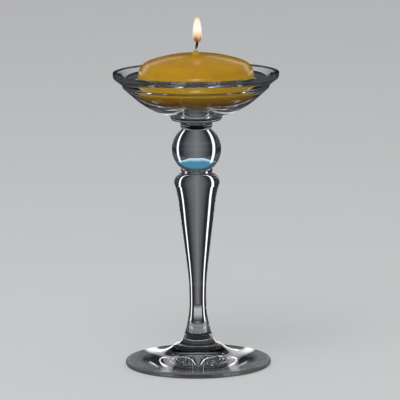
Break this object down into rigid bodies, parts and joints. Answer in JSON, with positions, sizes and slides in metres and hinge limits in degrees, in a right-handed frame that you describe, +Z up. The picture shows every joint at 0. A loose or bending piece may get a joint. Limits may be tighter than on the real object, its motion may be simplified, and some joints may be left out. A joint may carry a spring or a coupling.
{
  "type": "floating candle holder",
  "caption": "Clear glass pedestal with a round foot, ball knop and shallow lipped bowl that holds a domed floating candle.",
  "frame": {"origin": "centre of the foot's underside, on the table", "axes": "+Z up along the turning axis of the glass; X and Y are any two directions across it"},
  "size_m": [0.109, 0.109, 0.2319],
  "materials": {
    "clear_glass": "polished",
    "ball_glass": "polished",
    "golden_wax": "smooth, slightly see-through wax",
    "wick_cotton": "braided, charred at the tip",
    "tab_metal": "stamped",
    "flame_light": "glowing"
  },
  "bodies": {
    "stand": {"foot": "clear_glass", "stem": "clear_glass", "lower_collar": "clear_glass", "ball_knop": "ball_glass", "upper_collar": "clear_glass", "bowl_pad": "clear_glass", "bowl": "clear_glass"},
    "candle": {"candle_wax": "golden_wax", "wick": "wick_cotton", "wick_tab": "tab_metal", "flame": "flame_light"}
  },
  "joints": [
    {"name": "candle_lift", "type": "slide", "parent": "stand", "child": "candle", "axis": [0, 0, 1], "range_m": [0, 0.06]}
  ]
}
